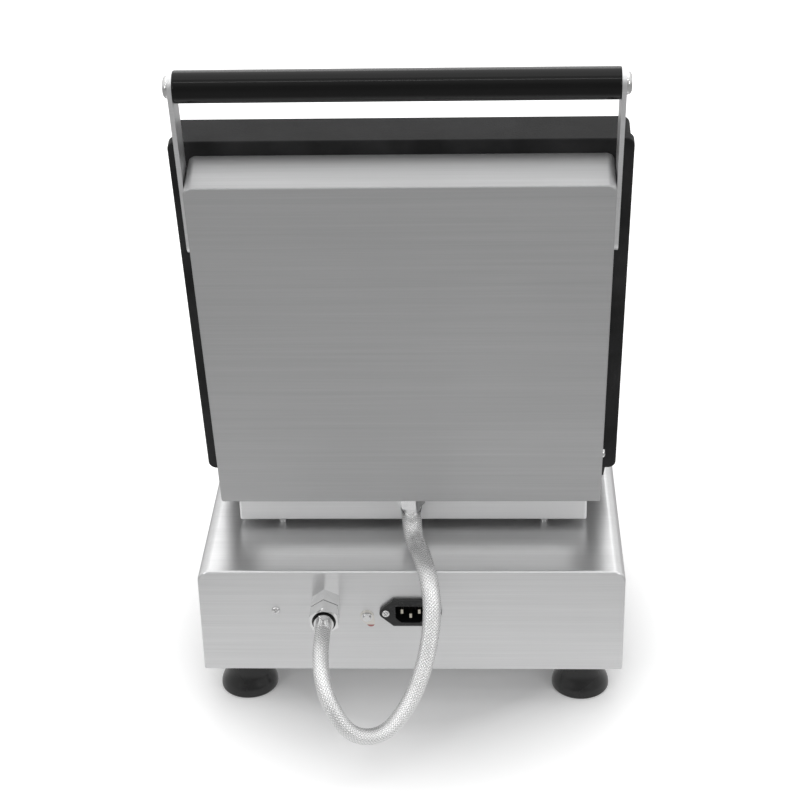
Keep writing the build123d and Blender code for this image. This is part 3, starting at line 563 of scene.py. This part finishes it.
class WAFFLE_OT_stage(bpy.types.Operator):
    """Camera at the photograph's angle, pale floor, white surroundings, soft lamps and strips"""

    bl_idname = "waffle.stage"
    bl_label = "Stage"

    def execute(self, context):
        settings = context.scene.waffle_stage
        camera = bpy.data.cameras.new("camera")
        camera.sensor_width = 36
        camera.lens = settings.lens
        camera.clip_end = 20
        viewer = bpy.data.objects.new("camera", camera)
        right = (-0.99916, -0.03463, -0.02201)
        up = (-0.00293, -0.47474, 0.88012)
        back = (-0.04092, 0.87944, 0.47424)
        columns = np.array((right, up, back)).T
        turned = Matrix(columns.tolist()).to_4x4()
        viewer.matrix_world = Matrix.Translation(settings.camera_place) @ turned
        context.scene.collection.objects.link(viewer)
        context.scene.camera = viewer
        context.scene.view_settings.view_transform = "Standard"

        floor_finish, tree, shader = new_material("pale_floor")
        output = tree.nodes["Material Output"]
        path = add(tree, "ShaderNodeLightPath")
        place = add(tree, "ShaderNodeTexCoord").outputs["Object"]
        below = (0.0, 0.1, 0.0)
        away = add(tree, "ShaderNodeVectorMath", {0: place, 1: below}, operation="DISTANCE")
        # Painted light: in metal the floor is painted brighter near the machine and dims with
        # distance
        painted_light_in_metal = spread(tree, away.outputs["Value"], 0.17, 0.5, 1.15, 0.42)
        # Painted shade: to the camera a glow whitens the floor past the shadow, and its absence near
        # the machine paints the floor darker there
        glow_past_painted_shade = spread(tree, away.outputs["Value"], 0.13, 0.27, 0.0, 0.6)
        in_metal = path.outputs["Is Glossy Ray"]
        level = add(tree, "ShaderNodeMix", {0: in_metal, 2: 1.0, 3: painted_light_in_metal}).outputs[0]
        pale = list(settings.floor_colour)
        tone = scaled_noise(tree, (3, 3, 3), 2)
        plain = blended(tree, tone, [c * 0.995 for c in pale], pale)
        tree.links.new(blended(tree, level, (0.0, 0.0, 0.0), plain), shader.inputs["Base Color"])
        shader.inputs["Roughness"].default_value = 0.85
        shader.inputs["Specular IOR Level"].default_value = 0.1
        to_camera = maths(tree, "MULTIPLY", path.outputs["Is Camera Ray"], glow_past_painted_shade)
        to_metal = maths(tree, "MULTIPLY", maths(tree, "MULTIPLY", in_metal, 0.2), painted_light_in_metal)
        lifted = maths(tree, "ADD", to_camera, to_metal)
        lift = add(tree, "ShaderNodeEmission", {"Color": (1, 1, 1, 1), "Strength": lifted})
        total = add(tree, "ShaderNodeAddShader", {0: shader.outputs[0], 1: lift.outputs[0]})
        tree.links.new(total.outputs[0], output.inputs["Surface"])
        reach = 6
        corners = [(-reach, -reach, 0), (reach, -reach, 0), (reach, reach, 0), (-reach, reach, 0)]
        floor = mesh_piece("floor", corners, [(0, 1, 2, 3)], floor_finish, None, smooth=False)

        world = bpy.data.worlds.new("surroundings")
        context.scene.world = world
        world.use_nodes = True
        tree = world.node_tree
        tree.nodes.clear()
        path = add(tree, "ShaderNodeLightPath")
        look = add(tree, "ShaderNodeTexCoord").outputs["Generated"]
        parts = add(tree, "ShaderNodeSeparateXYZ", {0: look})
        raised = maths(tree, "MULTIPLY", parts.outputs[2], 1.1)
        behind = maths(tree, "SUBTRACT", parts.outputs[1], raised)
        studio = spread(tree, behind, -0.35, 0.7, 1.0, 0.32)
        glossy, camera_ray = path.outputs["Is Glossy Ray"], path.outputs["Is Camera Ray"]
        reflected = add(tree, "ShaderNodeMix", {0: glossy, 2: 0.55, 3: studio}).outputs[0]
        strength = add(tree, "ShaderNodeMix", {0: camera_ray, 2: reflected, 3: 1.0}).outputs[0]
        light = add(tree, "ShaderNodeBackground", {"Color": (1, 1, 1, 1), "Strength": strength})
        output = add(tree, "ShaderNodeOutputWorld")
        tree.links.new(light.outputs[0], output.inputs["Surface"])

        lamps = (
            ("lamp_above", (0.0, -0.25, 1.9), (0.0, 0.0, 0.2), (2.2, 2.2), 10.5),
            ("lamp_left", (1.2, 1.6, 1.0), (0.0, 0.1, 0.25), (0.5, 0.5), 3.6),
            ("lamp_right", (-1.2, 1.6, 1.0), (0.0, 0.1, 0.25), (0.5, 0.5), 3.6),
            ("lamp_front", (0.0, -1.8, 1.4), (0.0, 0.0, 0.2), (1.4, 1.4), 4.4),
            ("strip_front", (0.0, -1.44, 1.62), (0.0, 0.25, 0.56), (1.6, 0.05), 0.8),
            ("strip_rear", (0.0, 1.30, 1.77), (0.0, 0.25, 0.56), (1.6, 0.05), 1.6),
        )
        for name, place, aim, size, power in lamps:
            data = bpy.data.lights.new(name, "AREA")
            data.shape = "RECTANGLE"
            data.size, data.size_y = size
            data.energy = power
            lamp = bpy.data.objects.new(name, data)
            lamp.location = place
            direction = lamp.location - Matrix.Translation(aim).translation
            lamp.rotation_mode = "QUATERNION"
            lamp.rotation_quaternion = direction.to_track_quat("Z", "Y")
            context.scene.collection.objects.link(lamp)
        return {"FINISHED"}


class WAFFLE_OT_hose(bpy.types.Operator):
    """Braided hose: a tube round the route's smooth line, its surface woven from strands"""

    bl_idname = "waffle.hose"
    bl_label = "Braided hose"

    def execute(self, context):
        settings = context.scene.waffle_hose
        line = bpy.data.curves.new("hose_line", "CURVE")
        line.dimensions = "3D"
        line.resolution_u = 24
        spline = line.splines.new("NURBS")
        spline.points.add(len(HOSE_ROUTE) - 1)
        spline.points.foreach_set("co", [c for p in HOSE_ROUTE for c in (*p, 1.0)])
        spline.order_u = 3
        spline.use_endpoint_u = True
        carrier = bpy.data.objects.new("hose_line", line)
        context.scene.collection.objects.link(carrier)
        read = bpy.data.meshes.new_from_object(carrier)
        track = np.empty(len(read.vertices) * 3)
        read.vertices.foreach_get("co", track)
        track = track.reshape(-1, 3)
        bpy.data.objects.remove(carrier)
        bpy.data.meshes.remove(read)

        rings, columns = 790, 120
        steps = np.linalg.norm(np.diff(track, axis=0), axis=1)
        keep = np.concatenate(((True,), steps > 1e-7))
        track = track[keep]
        reached = np.concatenate(((0,), np.cumsum(np.linalg.norm(np.diff(track, axis=0), axis=1))))
        length = reached[-1]
        along = np.linspace(0, length, rings)
        centres = np.stack([np.interp(along, reached, track[:, k]) for k in range(3)], axis=1)
        smoothing_passes = 6
        for _ in range(smoothing_passes):
            centres[1:-1] = (centres[:-2] + 2 * centres[1:-1] + centres[2:]) / 4
        forward = np.gradient(centres, axis=0)
        forward /= np.linalg.norm(forward, axis=1)[:, None]
        sides = carried_sides(forward)
        others = np.cross(forward, sides)

        turn = np.linspace(0, 2 * math.pi, columns, endpoint=False)
        share = along / length
        radius = np.interp(
            share,
            (0, 0.35, 0.55, 0.8, 1),
            (
                settings.cabinet_radius,
                settings.cabinet_radius * 1.04,
                settings.cabinet_radius * 1.12,
                settings.lid_radius * 0.93,
                settings.lid_radius,
            ),
        )
        count = settings.strands
        first = count * turn[None, :] / (2 * math.pi) + along[:, None] / settings.strand_pitch
        second = count * turn[None, :] / (2 * math.pi) - along[:, None] / settings.strand_pitch
        height, on_top = woven_height(first, second)
        relief = 0.0006
        skin = radius[:, None] - relief + relief * height
        points = (
            centres[:, None, :]
            + (skin * np.cos(turn))[..., None] * sides[:, None, :]
            + (skin * np.sin(turn))[..., None] * others[:, None, :]
        ).reshape(-1, 3)
        faces = grid_faces(rings, columns)
        caps = [list(range(columns))[::-1], list(range((rings - 1) * columns, rings * columns))]
        finish = wire_braid("steel_braid", settings.braid_colour, 0.22)
        mesh = bpy.data.meshes.new("hose")
        mesh.from_pydata(points.tolist(), [], faces.tolist() + caps)
        mesh.polygons.foreach_set("use_smooth", np.full(len(mesh.polygons), True))
        corner_vertex = np.empty(len(mesh.loops), np.int64)
        mesh.loops.foreach_get("vertex_index", corner_vertex)
        strand_map = np.stack((first.reshape(-1), second.reshape(-1)), axis=1)[corner_vertex]
        last_quad = (False, True, True, False)
        one_ring = np.concatenate((np.tile((False,) * 4, columns - 1), last_quad))
        seam = np.zeros(len(mesh.loops), bool)
        seam[: len(faces) * 4] = np.tile(one_ring, rings - 1)
        strand_map[seam] += count
        mesh.uv_layers.new(name="strands").data.foreach_set("uv", strand_map.reshape(-1))
        # Painted shade: low marks the weave's hollows, which the braid's material paints dark
        low = np.clip((0.78 - height) / 0.4, 0, 1)
        for name, values in (("over", on_top), ("low", low)):
            layer = mesh.attributes.new(name, "FLOAT", "POINT")
            layer.data.foreach_set("value", values.reshape(-1).astype(np.float32))
        mesh.materials.append(finish)
        mesh.update()
        hose = bpy.data.objects.new("hose", mesh)
        context.scene.collection.objects.link(hose)
        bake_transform(hose)
        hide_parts("braided_hose")
        return {"FINISHED"}


def carried_sides(forward):
    """Side vectors carried along a line without twist: each is the one before, less its
    part along the new direction, brought back to unit length."""
    sides = np.empty_like(forward)
    side = np.cross(forward[0], (0.0, 0.0, 1.0))
    for k, direction in enumerate(forward):
        side = side - direction * side.dot(direction)
        side /= np.linalg.norm(side)
        sides[k] = side
    return sides


def woven_height(first, second):
    """Height from 0 to 1 of a plain weave and which strand set lies on top.

    Each strand is round across and rises and dips along its run by a cosine that turns
    over at every crossing. The height is the greater of the two sets'.
    """
    strand_a, strand_b = np.floor(first), np.floor(second)
    round_a = np.sqrt(np.clip(1 - (2 * (first - strand_a) - 1) ** 2, 0, 1))
    round_b = np.sqrt(np.clip(1 - (2 * (second - strand_b) - 1) ** 2, 0, 1))
    wave_a = np.cos(math.pi * (second - 0.5) + math.pi * strand_a)
    wave_b = -np.cos(math.pi * (first - 0.5) + math.pi * strand_b)
    high_a = 0.55 * round_a + 0.225 * (1 + wave_a)
    high_b = 0.55 * round_b + 0.225 * (1 + wave_b)
    return np.clip(np.maximum(high_a, high_b), 0, 1), (high_a > high_b).astype(float)


class WAFFLE_OT_sheet_metal(bpy.types.Operator):
    """Cabinet, panels, heater housing and lid cover in brushed stainless sheet, with painted light on
    the housing and painted shade on the cover
    """

    bl_idname = "waffle.sheet_metal"
    bl_label = "Sheet metal"

    def execute(self, context):
        settings = context.scene.waffle_steel
        rough = settings.sheet_roughness
        sheet = brushed_steel("brushed_sheet", settings.sheet_colour, rough - 0.04, metal=0.9)
        # Painted shade: the lid cover gets a darker copy of the sheet's colour
        cover = brushed_steel("brushed_cover_painted_shade", settings.cover_colour_painted_shade, rough + 0.04)
        # Painted light: the heater housing gets a lighter copy of the sheet, standing in for the
        # bright cabinet top it reflects
        painted_light_gain = 1.4
        painted_light_wall_colour = [min(1.0, c * painted_light_gain) for c in settings.sheet_colour]
        dress(brushed_steel("sheet_painted_light", painted_light_wall_colour, rough - 0.08), "lower_housing")
        dress(sheet, "base_shell", "rear_panel", "front_panel", "bottom_plate")
        dress(sheet, "handle_arm_left", "handle_arm_right")
        dress(cover, "lid_cover")
        return {"FINISHED"}


class WAFFLE_OT_plates(bpy.types.Operator):
    """Both cast plates with their lugs and posts, the heating elements and the insulation"""

    bl_idname = "waffle.plates"
    bl_label = "Cast plates and heating"

    def execute(self, context):
        settings = context.scene.waffle_plate
        iron = cast_iron("seasoned_iron", settings.iron_colour, 0.5)
        dress(iron, "lower_plate", "upper_plate", "cover_posts")
        dress(iron, "lower_hinge_lugs", "upper_hinge_lugs")
        sheath = plated("heat_dulled_sheath", (0.3, 0.28, 0.27), 0.38)
        dress(sheath, "lower_heating_element", "upper_heating_element")
        wool = moulded("mineral_wool", (0.68, 0.62, 0.45), 0.9, grain_scale=500.0, grain=0.9)
        dress(wool, "lower_insulation", "upper_insulation")
        return {"FINISHED"}


class WAFFLE_OT_feet(bpy.types.Operator):
    """Rubber feet, and the rubber seal in the cabinet gland"""

    bl_idname = "waffle.feet"
    bl_label = "Feet"

    def execute(self, context):
        rubber = moulded("black_rubber", (0.008, 0.008, 0.008), 0.26, grain_scale=1100.0)
        dress(rubber, "rubber_feet", "gland_seal")
        return {"FINISHED"}


class WAFFLE_OT_handle(bpy.types.Operator):
    """Polished black grip"""

    bl_idname = "waffle.handle"
    bl_label = "Handle"

    def execute(self, context):
        settings = context.scene.waffle_handle
        phenolic = moulded(
            "black_phenolic", settings.grip_colour, 0.1, grain_scale=800.0, grain=0.015, shine=0.22
        )
        dress(phenolic, "handle_grip")
        return {"FINISHED"}


class WAFFLE_OT_fasteners(bpy.types.Operator):
    """Cross-recessed pan head screws, and the plain fasteners' bright finish"""

    bl_idname = "waffle.fasteners"
    bl_label = "Fasteners"

    def execute(self, context):
        bright = plated("bright_fastener", context.scene.waffle_steel.fastener_colour, 0.16)
        dress(
            bright,
            "foot_screws",
            "housing_standoffs",
            "lower_element_clamp",
            "upper_element_clamp",
            "hinge_pins",
            "handle_rod",
            "handle_caps",
            "earth_screw",
        )

        def on_lid(x, up, inward):
            return LID_ORIGIN + np.array((x, 0, 0)) + LID_UP * up - LID_OUT * inward

        washer = (
            (1e-6, 0),
            (0.0052, 0),
            (0.0055, 0.0001),
            (0.0055, 0.0005),
            (0.0052, 0.0006),
            (1e-6, 0.0006),
        )
        # Head radius and height, then shank radius and length
        cover_screw = (0.0038, 0.0033, 0.0025, 0.0022)
        arm_screw = (0.0041, 0.0021, 0.0025, 0.0038)
        inlet_screw = (0.0032, 0.0018, 0.0018, 0.003)
        panel_screw = (0.0034, 0.0022, 0.002, 0.01)
        cover_face, arm_recess, inlet_face = 0.15175, 0.15335, REAR_Y + 0.003
        cover, arms = [], []
        for side in (-1, 1):
            axis = (side, 0, 0)
            cover.append(pan_screw(on_lid(side * cover_face, 0.035, 0.02), axis, *cover_screw))
            for up in (0.264, 0.291):
                arms.append(pan_screw(on_lid(side * arm_recess, up, 0.022), axis, *arm_screw))
                seat = on_lid(side * cover_face, up, 0.022)
                arms.append(turned_solid(washer, seat, axis, columns=64))
        rear = []
        for x in (0.0205, -0.0195):
            rear.append(pan_screw((x, inlet_face, 0.095), (0, 1, 0), *inlet_screw))
        panel = [pan_screw((0.11, REAR_Y, 0.096), (0, 1, 0), *panel_screw)]
        for name, parts, body, replaced in (
            ("cover_screw_heads", cover, "lid", "cover_screws"),
            ("arm_screw_heads", arms, "lid", "arm_screws"),
            ("inlet_screw_heads", rear, "base", "inlet_screws"),
            ("panel_screw_head", panel, "base", "panel_screw"),
        ):
            points, faces = joined(parts)
            piece = mesh_piece(name, points, faces, bright, body)
            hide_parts(replaced)
        return {"FINISHED"}


class WAFFLE_OT_fittings(bpy.types.Operator):
    """Mains inlet, earth tag, terminal block and the plated hose glands"""

    bl_idname = "waffle.fittings"
    bl_label = "Rear fittings"

    def execute(self, context):
        settings = context.scene.waffle_fitting
        dress(moulded("inlet_plastic", settings.plastic_colour, 0.3), "power_inlet", "terminal_block")
        dress(plated("pin_metal", (0.55, 0.52, 0.44), 0.25), "inlet_pins")
        nickel = plated("nickel_plate", settings.nickel_colour, 0.09)
        dress(
            nickel,
            "base_gland",
            "base_gland_nut",
            "base_ferrule",
            "base_locknut",
            "lid_gland",
            "lid_ferrule",
            "lid_locknut",
        )
        tag, tree, shader = new_material("tinned_tag")
        place = add(tree, "ShaderNodeTexCoord").outputs["Object"]
        height = add(tree, "ShaderNodeSeparateXYZ", {0: place}).outputs[2]
        red = spread(tree, height, 0.0822, 0.083, 1.0, 0.0)
        tree.links.new(
            blended(tree, red, (0.72, 0.7, 0.66), (0.4, 0.17, 0.16)), shader.inputs["Base Color"]
        )
        shader.inputs["Metallic"].default_value = 0.7
        shader.inputs["Roughness"].default_value = 0.3
        dress(tag, "earth_tag")
        return {"FINISHED"}


class WAFFLE_OT_controls(bpy.types.Operator):
    """Fluted knobs with a pointer, the rocker switch, the lamps and the printed scales"""

    bl_idname = "waffle.controls"
    bl_label = "Controls"

    def execute(self, context):
        settings = context.scene.waffle_control
        plastic = context.scene.waffle_fitting.plastic_colour
        satin = moulded("satin_knob", (0.018, 0.018, 0.018), 0.36, grain_scale=1400.0, grain=0.12)
        dress(satin, "thermostat_body", "timer_body", "switch_body")
        dress(moulded("rocker_gloss", plastic, 0.18, grain=0.02), "switch_rocker")
        lens = moulded(
            "amber_lens", (0.85, 0.3, 0.02), 0.12, grain_scale=900.0, grain=0.02, shine=0.7
        )
        dress(lens, "pilot_lamps")
        ink = moulded("printed_ink", settings.marking_colour, 0.5)
        white = moulded("pointer_white", (0.8, 0.8, 0.8), 0.45)
        flutes = settings.flutes
        big = settings.knob_radius

        def lobe(turn, height, radius):
            on_grip = (height > 0.0062) & (radius > big * 0.62)
            return 1 - 0.035 * on_grip * (0.5 - 0.5 * np.cos(flutes * turn)) ** 2

        profile = (
            (1e-6, 0.0052),
            (0.003, 0.0052),
            (0.007, 0.005),
            (0.007, 0.0011),
            (big - 0.0012, 0.001),
            (big, 0.0022),
            (big, 0.0042),
            (big - 0.0008, 0.005),
            (big - 0.0026, 0.0053),
            (big - 0.003, 0.0066),
            (big - 0.0034, 0.011),
            (big - 0.0038, 0.0155),
            (big - 0.0042, 0.0195),
            (big - 0.005, 0.0213),
            (big - 0.0062, 0.0219),
            (big - 0.009, 0.022),
            (big * 0.4, 0.0215),
            (1e-6, 0.0214),
        )
        for x, node in ((KNOB_X, "temperature_knob"), (-KNOB_X, "timer_knob")):
            points, faces = turned_solid(
                profile, (x, FRONT_Y, CONTROL_Z), (0, -1, 0), columns=flutes * 12, lobe=lobe
            )
            knob = mesh_piece(node + "_fluted", points, faces, satin, node)
            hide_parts(node)
            middle = (x, CONTROL_Z + 0.0105)
            points, faces = box_array(
                [middle], [0], width=0.002, length=0.0085, near=0.0218, far=0.02225
            )
            pointer = mesh_piece(node + "_pointer", points, faces, white, node, smooth=False)

        def on_dial(x, turn, radius):
            return x + math.sin(turn) * radius, CONTROL_Z + math.cos(turn) * radius

        tick_ring, label_ring, label_size = 0.0252, 0.0305, 0.0056
        for x, sweep, labels, name in (
            (KNOB_X, 270, ("0", "50", "100", "150", "200", "250", "300"), "temperature_scale"),
            (-KNOB_X, 300, ("0", "2", "4", "6", "8", "10"), "timer_scale"),
        ):
            turns = np.radians(np.linspace(0, sweep, (len(labels) - 1) * 2 + 1)).tolist()
            places = [on_dial(x, turn, tick_ring) for turn in turns]
            ticks = box_array(places, turns, width=0.0007, length=0.0032, near=0.0, far=0.00012)
            parts = [ticks]
            for turn, label in zip(turns[::2], labels):
                parts.append(printed_word(label, label_size, on_dial(x, turn, label_ring)))
            points, faces = joined_any(parts)
            scale = mesh_piece(name, points, faces, ink, "base", smooth=False)
        return {"FINISHED"}


def box_array(places, turns, width, length, near, far):
    """Thin upright boxes on the front panel, one for each place and turn, as one mesh.

    A corner is the place plus its offset turned clockwise, at the near or far depth.
    """
    places, turns = np.asarray(places, float), np.asarray(turns, float)
    offsets = np.array(((-1, -1), (1, -1), (1, 1), (-1, 1))) * (width / 2, length / 2)
    cos, sin = np.cos(turns)[:, None], np.sin(turns)[:, None]
    x = places[:, :1] + offsets[:, 0] * cos + offsets[:, 1] * sin
    z = places[:, 1:] - offsets[:, 0] * sin + offsets[:, 1] * cos
    front = np.stack((x, np.full_like(x, FRONT_Y - far), z), axis=-1)
    back = np.stack((x, np.full_like(x, FRONT_Y - near), z), axis=-1)
    points = np.concatenate((front, back), axis=1).reshape(-1, 3)
    one = np.array(
        ((0, 1, 2, 3), (5, 4, 7, 6), (4, 5, 1, 0), (5, 6, 2, 1), (6, 7, 3, 2), (7, 4, 0, 3))
    )
    faces = (one[None] + 8 * np.arange(len(places))[:, None, None]).reshape(-1, 4)
    return points, faces


def printed_word(text, size, centre):
    """Vertices and faces of a short word lying on the front panel, read from the front."""
    half_thick = 0.00006
    words = bpy.data.curves.new(text, "FONT")
    words.body = text
    words.size = size
    words.align_x = "CENTER"
    words.align_y = "CENTER"
    words.extrude = half_thick
    words.resolution_u = 4
    carrier = bpy.data.objects.new(text, words)
    bpy.context.scene.collection.objects.link(carrier)
    read = bpy.data.meshes.new_from_object(carrier)
    points = np.empty(len(read.vertices) * 3)
    read.vertices.foreach_get("co", points)
    points = points.reshape(-1, 3)
    faces = [list(face.vertices) for face in read.polygons]
    bpy.data.objects.remove(carrier)
    bpy.data.meshes.remove(read)
    x, z = points[:, 0] + centre[0], points[:, 1] + centre[1]
    y = FRONT_Y - half_thick - points[:, 2]
    return np.stack((x, y, z), axis=1), faces


def joined_any(parts):
    """Like joined, for faces with any number of corners, as one list."""
    points, faces, count = [], [], 0
    for part_points, part_faces in parts:
        points.append(part_points)
        faces.extend([[int(v) + count for v in face] for face in part_faces])
        count += len(part_points)
    return np.concatenate(points), np.array(faces, dtype=object)


class WAFFLE_PT_panel(bpy.types.Panel):
    bl_label = "Waffle maker"
    bl_idname = "WAFFLE_PT_panel"
    bl_space_type = "VIEW_3D"
    bl_region_type = "UI"
    bl_category = "Waffle maker"

    def draw(self, context):
        for name, _ in SETTINGS:
            group = getattr(context.scene, name)
            box = self.layout.box()
            for key in group.__annotations__:
                box.prop(group, key)
        for operator in OPERATORS:
            self.layout.operator(operator.bl_idname)


SETTINGS = (
    ("waffle_stage", StageSettings),
    ("waffle_steel", SteelSettings),
    ("waffle_plate", PlateSettings),
    ("waffle_hose", HoseSettings),
    ("waffle_handle", HandleSettings),
    ("waffle_fitting", FittingSettings),
    ("waffle_control", ControlSettings),
)
OPERATORS = (
    WAFFLE_OT_stage,
    WAFFLE_OT_hose,
    WAFFLE_OT_sheet_metal,
    WAFFLE_OT_plates,
    WAFFLE_OT_feet,
    WAFFLE_OT_handle,
    WAFFLE_OT_fasteners,
    WAFFLE_OT_fittings,
    WAFFLE_OT_controls,
)


def register():
    for name, group in SETTINGS:
        bpy.utils.register_class(group)
        setattr(bpy.types.Scene, name, bpy.props.PointerProperty(type=group))
    for operator in OPERATORS:
        bpy.utils.register_class(operator)
    bpy.utils.register_class(WAFFLE_PT_panel)


def unregister():
    bpy.utils.unregister_class(WAFFLE_PT_panel)
    for operator in reversed(OPERATORS):
        bpy.utils.unregister_class(operator)
    for name, group in reversed(SETTINGS):
        delattr(bpy.types.Scene, name)
        bpy.utils.unregister_class(group)


def main():
    """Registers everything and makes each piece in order."""
    register()
    bpy.ops.waffle.stage()
    bpy.ops.waffle.hose()
    bpy.ops.waffle.sheet_metal()
    bpy.ops.waffle.plates()
    bpy.ops.waffle.feet()
    bpy.ops.waffle.handle()
    bpy.ops.waffle.fasteners()
    bpy.ops.waffle.fittings()
    bpy.ops.waffle.controls()


if __name__ == "__main__":
    main()
